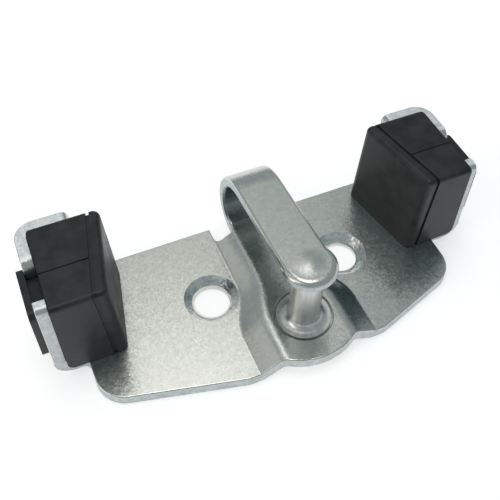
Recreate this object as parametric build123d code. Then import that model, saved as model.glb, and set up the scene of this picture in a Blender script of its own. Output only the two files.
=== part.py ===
from build123d import *
from math import cos, radians, sin
import os

# Trunk latch striker plate with two rubber centring buffers, in millimetres.
# The frame's origin is midway between the two screw holes, on the mounting face.
# X runs along the row of holes, Y away from the front edge, and Z up from the face.

# The sheet and its screw holes
sheet = 3.0
hole_spacing = 38.0
hole_dia = 9.5
sink_dia = 14.5
sink_depth = 2.0
rim_round = 0.4
trim_run = 4.0

# The plate's outline. The two ends mirror each other about a plane left of the hook.
end_offset = -3.4
end_span = 116.0
rear_y = 21.7
wing_inset_left = 8.0
wing_inset_right = 9.4
wing_y = -17.1
wing_round = 8.0
rear_round = 4.0
tip_x = 18.8
tip_y = -25.6
tip_round = 6.0
lobe_y = -28.7
lobe_round = 17.0
lobe_blend = 4.0
tab_front_y = -4.7
tab_rear_y = 15.5
tab_round = 1.8

# The raised channel between the wings
raise_h = 3.2
top_half_rear = 7.1
top_half_front = 9.9
foot_half_rear = 11.2
foot_half_front = 15.9
flare_start_y = 1.0
flare_end_y = -15.0
crest_round = 7.0
foot_round = 1.5

# The notches beside the strap's root
notch_y = 16.2
notch_outer = 11.2
notch_round = 2.2
notch_root_round = 1.0

# The hook strap
strap_w = 12.0
strap_shift = -0.35
low_bend = 6.0
top_bend = 11.5
strap_rise = 3.6
strap_end_r = 6.85
strap_round = 0.9
crown_h = 0.4
crown_flat = 0.4
crown_round = 1.8
button_foot = 1.0

# The striker pin
pin_setback = 13.0
pin_dia = 8.0
collar_dia = 14.0
collar_gap = 0.5
collar_seat = 1.6
seat_chamfer = 0.2
collar_edge = 1.5
collar_flare = 2.2
tenon_dia = 8.6
tenon_gap = 0.1
rivet_dia = 11.6
rivet_h = 1.5
rivet_round = 0.8
shank_chamfer = 0.4
cup_depth = 0.8
cup_gap = 0.05

# The upright walls at the two ends
wall_top = 27.9
wall_bend = 2.0
ear_length = 13.7
ear_step = 0.3
slot_front_y = -1.3
slot_rear_y = 9.0
slot_bottom = 13.5
slot_round = 1.5
lip_round = 3.0
wall_rim = 0.3
post_round = 1.8
ear_round = 1.8
ear_foot_round = 1.5

# The buffers
block_top = 29.0
block_bottom = 3.1
block_front_y = -6.0
block_rear_len = 19.9
block_front_len = 14.9
face_lean = 1.8
block_corner = 1.8
block_rim = 1.3
pad_thick = 2.6
groove_w = 0.9
groove_d = 0.45
seam_y = 4.8
seam_w = 0.5
seam_d = 0.25
bend_gap = 0.1
neck_gap = 0.15
flap_thick = 1.7
flap_front_y = -3.2
flap_rear_y = 11.7
flap_low = 7.6
flap_high = 25.0
flap_round = 2.0

wall_out = end_span / 2
wall_in = wall_out - sheet
wing_left = wall_out - wing_inset_left
wing_right = wall_out - wing_inset_right
ear_end = wall_out - ear_length
face_rear_x = wall_in - block_rear_len
face_front_x = wall_in - block_front_len
pin_y = lobe_y + pin_setback
ear_back = rear_y + ear_step
floor_top = sheet + raise_h
strap_left = strap_shift - strap_w / 2
strap_right = strap_shift + strap_w / 2


def plan(points):
    """A flat face over a closed polygon in plan."""
    return make_face(Polyline(*points, close=True))


def near(face, x, y):
    """The corner of a plan face that lies closest to a point."""
    return face.vertices().sort_by(lambda v: (v.X - x) ** 2 + (v.Y - y) ** 2)[0]


def round_plan(face, corners, radius):
    """Rounds the named corners of a plan face."""
    return fillet([near(face, x, y) for x, y in corners], radius)


def upright(face, low, high):
    """Raises a plan face into a prism between two heights."""
    return extrude(Pos(0, 0, low) * face, high - low)


def sheet_outline():
    """Plan outline of the sheet with its lobe, bend tabs and the two notches."""
    left, right = end_offset - wing_left, end_offset + wing_right
    outline = plan([(left, rear_y), (left, wing_y), (-tip_x, tip_y),
                    (tip_x, tip_y), (right, wing_y), (right, rear_y)])
    outline = round_plan(outline, [(left, wing_y), (right, wing_y)], wing_round)
    outline = round_plan(outline, [(left, rear_y), (right, rear_y)], rear_round)
    outline = round_plan(outline, [(-tip_x, tip_y), (tip_x, tip_y)], tip_round)
    lobe_mid = lobe_y + lobe_round
    outline += Pos(0, lobe_mid) * Circle(lobe_round)
    meet_x = (lobe_round ** 2 - (lobe_mid - tip_y) ** 2) ** 0.5
    outline = round_plan(outline, [(-meet_x, tip_y), (meet_x, tip_y)], lobe_blend)
    bend_x = wall_in - wall_bend
    tab_mid = (tab_front_y + tab_rear_y) / 2
    outline += Pos(end_offset, tab_mid) * Rectangle(2 * bend_x, tab_rear_y - tab_front_y)
    corners = [(x, y) for x in (left, right) for y in (tab_front_y, tab_rear_y)]
    outline = round_plan(outline, corners, tab_round)
    above = rear_y + trim_run
    for inner, outer in ((strap_left, -notch_outer), (strap_right, notch_outer)):
        notch = plan([(inner, above), (inner, notch_y), (outer, notch_y), (outer, above)])
        notch = round_plan(notch, [(outer, notch_y)], notch_round)
        notch = round_plan(notch, [(inner, notch_y)], notch_root_round)
        outline -= notch
    tongue = plan([(strap_left, above), (strap_left, bend_y()),
                   (strap_right, bend_y()), (strap_right, above)])
    return outline - tongue


def bend_y():
    """Where the strap's root starts to curl up."""
    return notch_y + notch_root_round


def channel_outline(half_rear, half_front):
    """Plan of one level of the channel: narrow at the root, flared to the lobe."""
    mid_y = (flare_start_y + flare_end_y) / 2
    mid = (half_rear + half_front) / 2
    far, close = rear_y + 2 * trim_run, lobe_y - 2 * trim_run
    sides = []
    for s in (1, -1):
        flare = Spline(
            (s * half_rear, flare_start_y),
            (s * mid, mid_y),
            (s * half_front, flare_end_y),
            tangents=[(0, -1), (0, -1)],
        )
        sides.append([Line((s * half_rear, far), (s * half_rear, flare_start_y)), flare,
                      Line((s * half_front, flare_end_y), (s * half_front, close))])
    ends = [Line((-half_rear, far), (half_rear, far)), Line((-half_front, close), (half_front, close))]
    return make_face(Curve() + sides[0] + sides[1] + ends)


def channel(foot_z, inset):
    """The channel's body from one face of the sheet up, drawn in by the inset."""
    foot = channel_outline(foot_half_rear - inset, foot_half_front - inset)
    top = channel_outline(top_half_rear - inset, top_half_front - inset)
    return loft([Pos(0, 0, foot_z) * foot, Pos(0, 0, foot_z + raise_h) * top], ruled=True)


def long_edges(body, height):
    """The edges at one height that run along the channel."""
    level = body.edges().filter_by(lambda e: abs(e.center().Z - height) < 0.01)
    inside = level.filter_by(lambda e: rear_y + trim_run - 0.1 > e.center().Y > lobe_y - trim_run + 0.1)
    return inside.filter_by(lambda e: abs(e.center().X) < (foot_half_front + tip_x) / 2)


def pressed_sheet():
    """The sheet pressed up along its middle and trimmed to its outline."""
    low, high = lobe_y - trim_run, rear_y + trim_run
    width = 2 * (wing_left + wing_right)
    block = Pos(0, (low + high) / 2, floor_top / 2) * Box(width, high - low, 3 * floor_top)
    flat = Pos(0, (low + high) / 2, sheet / 2) * Box(width, high - low, sheet)
    body = flat + (channel(sheet, 0) & block)
    body = fillet(long_edges(body, floor_top), crest_round)
    body = fillet(long_edges(body, sheet), foot_round)
    hollow = channel(0, sheet * 0.3) & block
    body -= fillet(long_edges(hollow, raise_h), crest_round - sheet)
    body = body & upright(sheet_outline(), -trim_run, floor_top + trim_run)
    return fillet(rim_edges(body), rim_round)


def rim_edges(body):
    """The upper rim of the front and of the two rear wing edges, where the die rolled it over."""
    rim = []
    for face in body.faces():
        if abs(face.normal_at(face.center()).Z) > 0.01:
            continue
        for edge in face.edges():
            upper = edge.center().Z > face.center().Z + sheet * 0.3
            front = edge.center().Y < tab_front_y + 0.1
            rear = edge.center().Y > tab_rear_y + 0.1 and abs(edge.center().X) > notch_outer - 0.1
            if upper and (front or rear):
                rim.append(edge)
    return rim


def strap_top(y):
    """Height of the strap's upper face over a point in front of its top bend."""
    turn = radians(strap_rise)
    centre_y = bend_y() + low_bend - top_bend
    outer = top_bend + sheet
    edge_y = centre_y + outer * sin(turn)
    edge_z = floor_top + low_bend + outer * cos(turn)
    return edge_z + (edge_y - y) * sin(turn) / cos(turn)


def strap_line(inside):
    """One face of the strap in side view, from its root round to the pin."""
    turn = radians(strap_rise)
    depth = sheet if inside else 0.0
    root_z = floor_top - sheet + depth
    low_r = low_bend + sheet - depth
    top_r = top_bend + sheet - depth
    centre_z = floor_top + low_bend
    centre_y = bend_y() + low_bend - top_bend
    low = CenterArc((bend_y(), centre_z), low_r, -90, 90)
    top = CenterArc((centre_y, centre_z), top_r, 0, 90 - strap_rise)
    last = (centre_y + top_r * sin(turn), centre_z + top_r * cos(turn))
    run = (last[0] - pin_y) / cos(turn)
    tip = (last[0] - run * cos(turn), last[1] + run * sin(turn))
    return [low, top, Line(last, tip)], (bend_y(), root_z), tip


def strap():
    """The strap curled up from the root and over to the pin, with a crowned round end."""
    outer, root_out, tip_out = strap_line(False)
    inner, root_in, tip_in = strap_line(True)
    side = make_face(Curve() + outer + inner + [Line(root_out, root_in), Line(tip_out, tip_in)])
    body = Pos(strap_shift, 0, 0) * extrude(Plane.YZ * side, strap_w / 2, both=True)
    long = body.edges().filter_by(lambda e: abs(abs(e.center().X - strap_shift) - strap_w / 2) < 0.01)
    long = long.filter_by(lambda e: e.length > sheet + 0.1)
    body = fillet(long, strap_round)
    return body + Pos(0, pin_y, strap_top(pin_y)) * Rot(-strap_rise, 0, 0) * button()


def button():
    """The strap's round end, crowned on top, drawn about its own axis."""
    r = strap_end_r
    low = button_foot
    edges = [
        Spline((0, crown_h), (r - crown_round - crown_flat, 0), tangents=[(1, 0), (1, 0)]),
        Line((r - crown_round - crown_flat, 0), (r - crown_round, 0)),
        RadiusArc((r - crown_round, 0), (r, -crown_round), crown_round),
        Line((r, -crown_round), (r, low - sheet)),
        RadiusArc((r, low - sheet), (r - low, -sheet), low),
        Line((r - low, -sheet), (0, -sheet)),
        Line((0, -sheet), (0, crown_h)),
    ]
    return revolve(Plane.XZ * make_face(Curve() + edges), Axis.Z)


def end_wall():
    """The right end's bend, side wall and rear ear, folded from one strip."""
    foot_z = sheet + wall_bend
    corner = plan([(wall_in, tab_front_y), (wall_out, tab_front_y), (wall_out, ear_back), (ear_end, ear_back),
                   (ear_end, ear_back - sheet), (wall_in, ear_back - sheet)])
    corner = round_plan(corner, [(wall_out, ear_back)], wall_bend + sheet)
    corner = round_plan(corner, [(wall_in, ear_back - sheet)], wall_bend)
    body = upright(corner, foot_z, wall_top) & wall_side() & ear_side()
    body = fillet(body.edges().filter_by(lambda e: e.bounding_box().min.Z > foot_z + 0.01), wall_rim)
    centre = (wall_in - wall_bend, foot_z)
    ring = Circle(wall_bend + sheet) - Circle(wall_bend)
    quarter = ring & Pos(wall_out, -wall_out) * Rectangle(2 * wall_out, 2 * wall_out)
    bend = extrude(Plane.XZ * Pos(*centre) * quarter, tab_rear_y - tab_front_y)
    return body + Pos(0, tab_rear_y, 0) * bend


def wall_side():
    """Side view of the wall with its open slot, drawn wide enough to trim it."""
    foot_z = sheet + wall_bend
    far = ear_back + trim_run
    face = plan([(tab_front_y, foot_z), (tab_front_y, wall_top), (slot_front_y, wall_top),
                 (slot_front_y, slot_bottom), (slot_rear_y, slot_bottom), (slot_rear_y, wall_top),
                 (far, wall_top), (far, foot_z)])
    face = round_plan(face, [(slot_rear_y, wall_top)], lip_round)
    face = round_plan(face, [(tab_front_y, wall_top)], post_round)
    face = round_plan(face, [(slot_front_y, slot_bottom), (slot_rear_y, slot_bottom)], slot_round)
    return extrude(Plane.YZ * face, wall_out + trim_run)


def ear_side():
    """Rear view of the wall and its ear, with the ear's free corners rounded."""
    foot_z = sheet + wall_bend
    far = wall_out + trim_run
    face = plan([(ear_end, foot_z), (ear_end, wall_top), (far, wall_top), (far, foot_z)])
    face = round_plan(face, [(ear_end, wall_top)], ear_round)
    face = round_plan(face, [(ear_end, foot_z)], ear_foot_round)
    return extrude(Plane.XZ * face, wall_out, both=True)


def screw_hole():
    """A countersunk screw hole, as the body it removes."""
    bore = Pos(0, 0, sheet / 2) * Cylinder(hole_dia / 2, 2 * sheet)
    cone = Pos(0, 0, sheet - sink_depth / 2) * Cone(sink_dia / 2 - sink_depth, sink_dia / 2, sink_depth)
    above = Pos(0, 0, sheet * 1.5) * Cylinder(sink_dia / 2, sheet)
    return bore + cone + above


def pin_seat():
    """What the pin takes out of the raised floor and the strap's underside."""
    recess_r = collar_dia / 2 + collar_gap
    recess = Pos(0, 0, floor_top) * Cylinder(recess_r, 2 * collar_seat)
    recess += Pos(0, 0, floor_top - seat_chamfer / 2) * Cone(recess_r, recess_r + seat_chamfer, seat_chamfer)
    bore = Pos(0, 0, floor_top) * Cylinder(tenon_dia / 2 + tenon_gap, 4 * sheet)
    low = (floor_top + pin_top()) / 2
    cup = Pos(0, 0, (low + pin_top()) / 2) * Cylinder(pin_dia / 2 + cup_gap, pin_top() - low)
    return Pos(0, pin_y, 0) * (recess + bore) + Pos(0, pin_y, 0) * cup


def pin_top():
    """Height of the pin's upper end, inside the cup under the strap."""
    return strap_top(pin_y) - sheet + cup_depth


def striker_plate():
    """The one stamped sheet: wings, channel, hook strap and end walls."""
    body = pressed_sheet() + strap()
    for wall in both_ends(end_wall()):
        body += wall
    for x in (-hole_spacing / 2, hole_spacing / 2):
        body -= Pos(x, 0, 0) * screw_hole()
    body -= pin_seat()
    return body


def both_ends(piece):
    """A piece drawn for the right end, and its mirror image for the left end."""
    return [Pos(end_offset, 0, 0) * mirror(piece, Plane.YZ), Pos(end_offset, 0, 0) * piece]


def striker_pin():
    """The turned pin: riveted foot, seated collar and plain shank up to the strap."""
    seat = floor_top - collar_seat
    under = floor_top - sheet
    r, collar, tenon, rivet = pin_dia / 2, collar_dia / 2, tenon_dia / 2, rivet_dia / 2
    rim = seat + collar_edge
    tail = under - rivet_h
    top = pin_top()
    edges = [
        Line((0, tail), (rivet - rivet_round, tail)),
        RadiusArc((rivet - rivet_round, tail), (rivet, tail + rivet_round), -rivet_round),
        Line((rivet, tail + rivet_round), (rivet, under)),
        Line((rivet, under), (tenon, under)),
        Line((tenon, under), (tenon, seat)),
        Line((tenon, seat), (collar, seat)),
        Line((collar, seat), (collar, rim)),
        Line((collar, rim), (r + collar_flare, rim)),
        RadiusArc((r + collar_flare, rim), (r, rim + collar_flare), collar_flare),
        Line((r, rim + collar_flare), (r, top - shank_chamfer)),
        Line((r, top - shank_chamfer), (r - shank_chamfer, top)),
        Line((r - shank_chamfer, top), (0, top)),
        Line((0, top), (0, tail)),
    ]
    return Pos(0, pin_y, 0) * revolve(Plane.XZ * make_face(Curve() + edges), Axis.Z)


def block_body(shrink):
    """The buffer's tapered block, drawn in all round by the shrink."""
    rear = ear_back - sheet - shrink
    front = block_front_y + shrink
    levels = []
    for z, lean in ((block_bottom + shrink, 0.0), (block_top - shrink, face_lean)):
        rear_x = face_rear_x + lean + shrink
        front_x = face_front_x + lean + shrink
        level = plan([(rear_x, rear), (front_x, front), (wall_in, front), (wall_in, rear)])
        levels.append(Pos(0, 0, z) * level)
    body = loft(levels, ruled=True)
    mid_z = (block_bottom + block_top) / 2
    uprights = body.edges().filter_by(lambda e: abs(e.center().Z - mid_z) < 0.01)
    body = fillet(uprights.filter_by(lambda e: e.center().X < wall_in - block_corner), block_corner)
    rim = body.edges().filter_by(lambda e: e.center().Z > block_top - shrink - 0.01)
    return fillet(rim.filter_by(lambda e: e.center().X < wall_in - 0.01), block_rim)


def pad_groove():
    """A ring a little below the block's skin, just behind its inner face."""
    height = block_top - block_bottom
    levels = []
    for over in (-0.05, 1.05):
        z = block_bottom + over * height
        rear_x = face_rear_x + pad_thick + over * face_lean
        front_x = face_front_x + pad_thick + over * face_lean
        level = plan([(rear_x, ear_back - sheet), (front_x, block_front_y),
                      (front_x + groove_w, block_front_y), (rear_x + groove_w, ear_back - sheet)])
        levels.append(Pos(0, 0, z) * level)
    return loft(levels, ruled=True)


def wall_reliefs():
    """What the wall's two bends take off the block: its lower outer and its rear outer edge."""
    r = wall_bend + bend_gap
    rear = ear_back - sheet
    heel = Pos(wall_in, block_bottom) * Rectangle(2 * r, 2 * r)
    heel -= Pos(wall_in - r, block_bottom + r) * Circle(r)
    back = Pos(wall_in, rear) * Rectangle(2 * r, 2 * r)
    back -= Pos(wall_in - r, rear - r) * Circle(r)
    return extrude(Plane.XZ * heel, 2 * rear_y, both=True) + upright(back, 0, 2 * block_top)


def buffer():
    """The right buffer: block, neck through the wall's slot and flap outside it."""
    body = block_body(0) - (pad_groove() - block_body(groove_d))
    ahead = (ear_back - sheet - seam_y) / (ear_back - sheet - block_front_y)
    seam_start = face_rear_x + ahead * (face_front_x - face_rear_x) + face_lean + pad_thick
    seam_len = wall_in - seam_start
    seam = Pos(wall_in - seam_len / 2, seam_y, block_top) * Box(seam_len, seam_w, 2 * seam_d)
    body -= seam
    body -= wall_reliefs()
    neck_y = (slot_front_y + slot_rear_y) / 2
    neck_w = slot_rear_y - slot_front_y - 2 * neck_gap
    neck_high = flap_high - flap_round
    place = Pos(wall_in + sheet / 2, neck_y, (slot_bottom + neck_high) / 2)
    neck = place * Box(sheet, neck_w, neck_high - slot_bottom)
    rounds = neck.edges().filter_by(Axis.X).filter_by(lambda e: e.center().Z < slot_bottom + slot_round)
    neck = fillet(rounds, slot_round)
    flap_w = flap_rear_y - flap_front_y
    flap_h = flap_high - flap_low
    place = Pos(wall_out + flap_thick / 2, (flap_front_y + flap_rear_y) / 2, (flap_low + flap_high) / 2)
    flap = place * Box(flap_thick, flap_w, flap_h)
    flap = fillet(flap.edges().filter_by(Axis.X), flap_round)
    return body + neck + flap


os.makedirs("parts", exist_ok=True)
export_step(striker_plate(), "parts/striker_plate.step")
export_step(striker_pin(), "parts/striker_pin.step")
left_buffer, right_buffer = both_ends(buffer())
export_step(left_buffer, "parts/buffer_left.step")
export_step(right_buffer, "parts/buffer_right.step")
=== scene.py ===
import bpy
from math import cos, hypot, radians, sin
from mathutils import Matrix, Vector

# Trunk latch striker plate, seen from above its front left corner.
# A zinc-plated stamping carries a riveted pin and two black rubber buffers.

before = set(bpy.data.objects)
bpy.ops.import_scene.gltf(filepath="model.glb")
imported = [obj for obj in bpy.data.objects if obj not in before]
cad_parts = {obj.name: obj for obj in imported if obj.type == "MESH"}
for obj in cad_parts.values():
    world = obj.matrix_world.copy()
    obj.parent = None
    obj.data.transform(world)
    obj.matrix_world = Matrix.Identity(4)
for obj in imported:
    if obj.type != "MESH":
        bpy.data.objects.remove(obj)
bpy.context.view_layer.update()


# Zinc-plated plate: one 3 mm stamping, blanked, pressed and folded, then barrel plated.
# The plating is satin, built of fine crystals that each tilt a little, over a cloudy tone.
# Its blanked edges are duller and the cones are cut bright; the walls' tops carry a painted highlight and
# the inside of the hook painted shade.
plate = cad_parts["striker_plate"]
CLOUD_SCALE, CLOUD_DETAIL, CLOUD_GRAIN = 620.0, 5.0, 0.65
CRYSTAL_SCALE = 2300.0
FILM, FILM_TINT = 0.07, (0.05, 0.85, 1, 1)


def new_finish(name):
    """A new finish: its material, shader nodes, links and surface shader."""
    finish = bpy.data.materials.new(name)
    finish.use_nodes = True
    nodes, links = finish.node_tree.nodes, finish.node_tree.links
    return finish, nodes, links, nodes["Principled BSDF"]


def noise_over(nodes, links, where, scale, detail):
    """Fractal noise laid over the piece, with finer grain the more detail it has."""
    noise = nodes.new("ShaderNodeTexNoise")
    noise.inputs["Scale"].default_value = scale
    noise.inputs["Detail"].default_value = detail
    links.new(where, noise.inputs["Vector"])
    return noise


def tone_by(nodes, links, pattern, low, dull, high, bright):
    """Colour by a pattern: dull up to the low level, bright past the high one, blended between."""
    tone = nodes.new("ShaderNodeValToRGB")
    for element, level, colour in zip(tone.color_ramp.elements, (low, high), (dull, bright)):
        element.position = level
        element.color = colour
    links.new(pattern, tone.inputs["Fac"])
    links.new(tone.outputs["Color"], nodes["Principled BSDF"].inputs["Base Color"])


def haze_by(nodes, links, pattern, low, high, smooth, rough):
    """Roughness by a pattern: smooth at its low level, rising in a straight line to rough at its high."""
    haze = nodes.new("ShaderNodeMapRange")
    haze.inputs["From Min"].default_value = low
    haze.inputs["From Max"].default_value = high
    haze.inputs["To Min"].default_value = smooth
    haze.inputs["To Max"].default_value = rough
    links.new(pattern, haze.inputs["Value"])
    links.new(haze.outputs["Result"], nodes["Principled BSDF"].inputs["Roughness"])


def plated(name, dull, bright, smooth, rough, tilt):
    """A plated steel finish: cloudy tone, tilted crystals, satin haze, and the blue dip's faint film."""
    steel, nodes, links, surface = new_finish(name)
    surface.inputs["Metallic"].default_value = 1.0
    surface.inputs["Sheen Weight"].default_value = FILM
    surface.inputs["Sheen Roughness"].default_value = 1.0
    surface.inputs["Sheen Tint"].default_value = FILM_TINT
    place = nodes.new("ShaderNodeTexCoord")
    cloud = noise_over(nodes, links, place.outputs["Object"], CLOUD_SCALE, CLOUD_DETAIL)
    cloud.inputs["Roughness"].default_value = CLOUD_GRAIN
    tone_by(nodes, links, cloud.outputs["Fac"], 0.32, dull, 0.68, bright)
    haze_by(nodes, links, cloud.outputs["Fac"], 0.3, 0.7, smooth, rough)
    # Each crystal's chance colour, taken about grey and scaled, is added to the surface's own normal.
    crystals = nodes.new("ShaderNodeTexVoronoi")
    crystals.inputs["Scale"].default_value = CRYSTAL_SCALE
    links.new(place.outputs["Object"], crystals.inputs["Vector"])
    lean = nodes.new("ShaderNodeVectorMath")
    lean.operation = "SUBTRACT"
    lean.inputs[1].default_value = (0.5, 0.5, 0.5)
    links.new(crystals.outputs["Color"], lean.inputs[0])
    amount = nodes.new("ShaderNodeVectorMath")
    amount.operation = "SCALE"
    amount.inputs["Scale"].default_value = tilt
    links.new(lean.outputs["Vector"], amount.inputs[0])
    upright = nodes.new("ShaderNodeNewGeometry")
    tilted = nodes.new("ShaderNodeVectorMath")
    tilted.operation = "ADD"
    links.new(upright.outputs["Normal"], tilted.inputs[0])
    links.new(amount.outputs["Vector"], tilted.inputs[1])
    unit = nodes.new("ShaderNodeVectorMath")
    unit.operation = "NORMALIZE"
    links.new(tilted.outputs["Vector"], unit.inputs[0])
    links.new(unit.outputs["Vector"], surface.inputs["Normal"])
    return steel


# Where the finishes meet on the stamping, in metres, and how far a face leans from level or square.
HOLE_X, PIN_Y = 0.019, -0.0157
HOLE_CLEAR, CONE_OUTER = 0.008, 0.0074
FLOOR_TOP, END_MIDDLE, BEND_START = 0.0062, -0.0034, 0.0525
TAB_REAR, EAR_END, SLOT_BOTTOM = 0.016, 0.0443, 0.0135
STRAP_MIDDLE, STRAP_HALF, BUTTON_LOW = -0.00035, 0.006, 0.02
STEEP, SLANTING, SQUARE_ON, SLACK = 0.3, 0.5, 0.9, 0.0005
SKIN, BLANKED, PAINTED_HIGHLIGHT, SHADED, CUT = range(5)


def finish_of(face):
    """Which finish a face of the stamping has, painted highlight and painted shade among them, by where
    it is and which way it looks.
    """
    x, y, z = face.center
    lean = face.normal
    out = abs(x - END_MIDDLE)
    off_strap = abs(x - STRAP_MIDDLE)
    off_hole = min(hypot(x - HOLE_X, y), hypot(x + HOLE_X, y))
    if off_hole < CONE_OUTER and STEEP < lean.z < SQUARE_ON:
        return CUT
    if z < FLOOR_TOP and out < BEND_START and abs(lean.z) < STEEP:
        return BLANKED if min(off_hole, hypot(x, y - PIN_Y)) > HOLE_CLEAR else SKIN
    if out > BEND_START and abs(lean.y) > SQUARE_ON and y < TAB_REAR:
        return BLANKED
    if z > FLOOR_TOP and abs(lean.x) > SQUARE_ON:
        if abs(out - EAR_END) < 2 * SLACK or STRAP_HALF - SLACK < off_strap < HOLE_CLEAR:
            return BLANKED
    off_button = hypot(x - STRAP_MIDDLE, y - PIN_Y)
    # The button's front rim takes the duller edge tone: partly its real blanked edge, partly painted
    # shade for the dark crescent under the button.
    if z > BUTTON_LOW and lean.z < SLANTING and off_button > STRAP_HALF and y < PIN_Y:
        return BLANKED
    # Faces under the strap and inside its bend get a dark painted shade.
    behind_pin = z > FLOOR_TOP and off_strap < HOLE_CLEAR and y > PIN_Y + HOLE_CLEAR
    if behind_pin and min(lean.y, lean.z) < -STEEP:
        return SHADED
    # Top faces of the wall ends get a near-white painted highlight.
    if lean.z > SQUARE_ON and out > EAR_END - SLACK and z > SLOT_BOTTOM - SLACK:
        return PAINTED_HIGHLIGHT
    return SKIN


plate.data.materials.clear()
for name, dull, bright, smooth, rough, tilt in (
    ("zinc plating", (0.605, 0.60, 0.56, 1), (0.688, 0.68, 0.64, 1), 0.23, 0.28, 0.05),
    ("blanked edge", (0.39, 0.41, 0.41, 1), (0.62, 0.63, 0.63, 1), 0.35, 0.45, 0.1),
    # painted highlight: a near-white tone on the wall tops, standing in for the overhead light's
    # reflection
    ("painted highlight on wall tops", (0.84, 0.85, 0.85, 1), (1, 1, 1, 1), 0.48, 0.62, 0.2),
    # painted shade: a darkened plating tone under the strap and inside its bend
    ("painted shade inside the hook", (0.25, 0.26, 0.25, 1), (0.30, 0.31, 0.30, 1), 0.26, 0.32, 0.05),
    ("cut cone", (0.50, 0.51, 0.50, 1), (0.92, 0.93, 0.91, 1), 0.24, 0.36, 0.25),
):
    plate.data.materials.append(plated(name, dull, bright, smooth, rough, tilt))
for face in plate.data.polygons:
    face.material_index = finish_of(face)


# Striker pin: turned from bar, riveted into the plate and plated, then polished by the latch claw.
# Fine turning rings run round the shank, and drawn streaks run down it.
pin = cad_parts["striker_pin"]
STREAK_SCALE, STREAK_DRAWN, RING_SCALE, RING_WANDER = 900.0, (1.0, 1.0, 0.06), 900.0, 2.0
turned, nodes, links, surface = new_finish("turned pin")
surface.inputs["Metallic"].default_value = 1.0
place = nodes.new("ShaderNodeTexCoord")
stretch = nodes.new("ShaderNodeMapping")
stretch.inputs["Scale"].default_value = STREAK_DRAWN
links.new(place.outputs["Object"], stretch.inputs["Vector"])
streaks = noise_over(nodes, links, stretch.outputs["Vector"], STREAK_SCALE, 3.0)
dull_steel, bright_steel = (0.615, 0.625, 0.605, 1), (0.775, 0.785, 0.765, 1)
tone_by(nodes, links, streaks.outputs["Fac"], 0.35, dull_steel, 0.65, bright_steel)
rings = nodes.new("ShaderNodeTexWave")
rings.bands_direction = "Z"
rings.inputs["Scale"].default_value = RING_SCALE
rings.inputs["Distortion"].default_value = RING_WANDER
links.new(place.outputs["Object"], rings.inputs["Vector"])
haze_by(nodes, links, rings.outputs["Fac"], 0.0, 1.0, 0.28, 0.38)
pin.data.materials.clear()
pin.data.materials.append(turned)


# Rubber buffers: compression moulded black rubber with a satin skin.
# The skin is faintly mottled where the mould release dried.
MOTTLE_SCALE, MOTTLE_DETAIL, RUBBER_SHINE = 260.0, 7.0, 0.42
SKIN_STRENGTH, SKIN_DEPTH = 0.35, 0.00008
rubber, nodes, links, surface = new_finish("black rubber")
surface.inputs["Specular IOR Level"].default_value = RUBBER_SHINE
place = nodes.new("ShaderNodeTexCoord")
mottle = noise_over(nodes, links, place.outputs["Object"], MOTTLE_SCALE, MOTTLE_DETAIL)
deep_black, dusty_black = (0.009, 0.010, 0.0115, 1), (0.028, 0.0295, 0.033, 1)
tone_by(nodes, links, mottle.outputs["Fac"], 0.35, deep_black, 0.65, dusty_black)
haze_by(nodes, links, mottle.outputs["Fac"], 0.3, 0.7, 0.36, 0.52)
skin = nodes.new("ShaderNodeBump")
skin.inputs["Strength"].default_value = SKIN_STRENGTH
skin.inputs["Distance"].default_value = SKIN_DEPTH
links.new(mottle.outputs["Fac"], skin.inputs["Height"])
links.new(skin.outputs["Normal"], surface.inputs["Normal"])
for name in ("buffer_left", "buffer_right"):
    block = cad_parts[name]
    block.data.materials.clear()
    block.data.materials.append(rubber)


# White paper floor under the plate. What the camera and the metal see of it is lifted to white,
# and the object's own shadow stays on it.
FLOOR_WIDTH, FLOOR_GAP, PAPER_LIFT = 3.0, 0.0002, 0.5
bpy.ops.mesh.primitive_plane_add(size=FLOOR_WIDTH, location=(0, 0, -FLOOR_GAP))
floor = bpy.context.object
floor.name = "paper floor"
paper, nodes, links, surface = new_finish("white paper")
surface.inputs["Base Color"].default_value = (0.9, 0.9, 0.9, 1)
surface.inputs["Roughness"].default_value = 0.9
surface.inputs["Specular IOR Level"].default_value = 0.0
surface.inputs["Emission Color"].default_value = (1, 1, 1, 1)
path = nodes.new("ShaderNodeLightPath")
seen = nodes.new("ShaderNodeMath")
seen.operation = "MAXIMUM"
links.new(path.outputs["Is Camera Ray"], seen.inputs[0])
links.new(path.outputs["Is Glossy Ray"], seen.inputs[1])
lift = nodes.new("ShaderNodeMath")
lift.operation = "MULTIPLY"
lift.inputs[1].default_value = PAPER_LIFT
links.new(seen.outputs["Value"], lift.inputs[0])
links.new(lift.outputs["Value"], surface.inputs["Emission Strength"])
floor.data.materials.append(paper)


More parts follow.
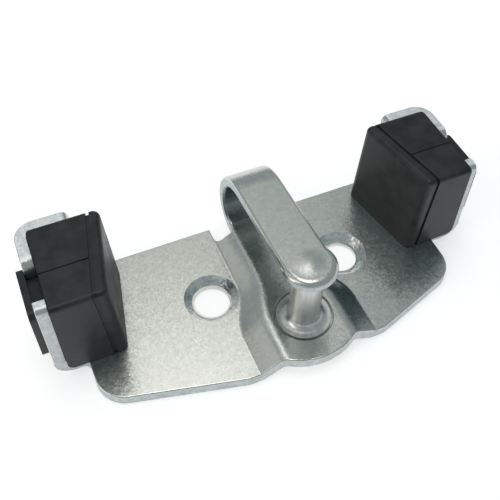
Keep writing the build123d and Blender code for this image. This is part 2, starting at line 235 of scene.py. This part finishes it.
# Studio light: a cool pale surround, one strong softbox overhead, smaller ones behind and at the
# left, and weak warm ones low down. What the plating mirrors of them makes its bright zones.
world = bpy.data.worlds.new("pale surround")
bpy.context.scene.world = world
world.use_nodes = True
surround = world.node_tree.nodes["Background"]
surround.inputs["Color"].default_value = (0.88, 0.97, 1, 1)
surround.inputs["Strength"].default_value = 0.37

SOFTBOX, LAMP_REACH = 0.36, 1.0
NEUTRAL, WARM = (1, 0.985, 0.965), (1, 0.97, 0.87)
for name, azimuth, elevation, watts, colour in (
    ("softbox overhead", 0, 87, 1.48, NEUTRAL),
    ("softbox behind", 10, 68, 0.45, NEUTRAL),
    ("low softbox behind", 2, 47, 0.08, WARM),
    ("low softbox behind right", 22, 47, 0.08, WARM),
    ("low softbox rear left", -60, 47, 0.14, WARM),
    ("low softbox far left", -55, 24, 0.11, WARM),
    ("softbox left", -104, 45, 0.55, NEUTRAL),
    ("low softbox left", -90, 24, 0.8, WARM),
):
    lamp = bpy.data.lights.new(name, "AREA")
    lamp.shape = "SQUARE"
    lamp.size = SOFTBOX
    lamp.energy = watts
    lamp.color = colour
    holder = bpy.data.objects.new(name, lamp)
    az, el = radians(azimuth), radians(elevation)
    holder.location = Vector((sin(az) * cos(el), cos(az) * cos(el), sin(el))) * LAMP_REACH
    holder.rotation_euler = (-holder.location).to_track_quat("-Z", "Y").to_euler()
    bpy.context.collection.objects.link(holder)


# Camera: the photo's own view, from above the front left corner.
# Its place, its look and its small roll are those that fit the photo.
EYE, LOOK, ROLL = (-0.0544, -0.1030, 0.1675), (0.2767, 0.5897, -0.7587), 1.82
lens = bpy.data.cameras.new("camera")
lens.sensor_width = 36.0
lens.lens = 53.53
lens.shift_x = -0.0182
lens.shift_y = -0.0920
lens.clip_start = 0.01
camera = bpy.data.objects.new("camera", lens)
look = Vector(LOOK).normalized()
level = look.cross(Vector((0, 0, 1))).normalized()
above = level.cross(look)
roll = radians(ROLL)
right = level * cos(roll) + above * sin(roll)
up = above * cos(roll) - level * sin(roll)
camera.matrix_world = Matrix((
    (right.x, up.x, -look.x, EYE[0]),
    (right.y, up.y, -look.y, EYE[1]),
    (right.z, up.z, -look.z, EYE[2]),
    (0, 0, 0, 1),
))
bpy.context.collection.objects.link(camera)
bpy.context.scene.camera = camera
bpy.context.scene.view_settings.view_transform = "Standard"
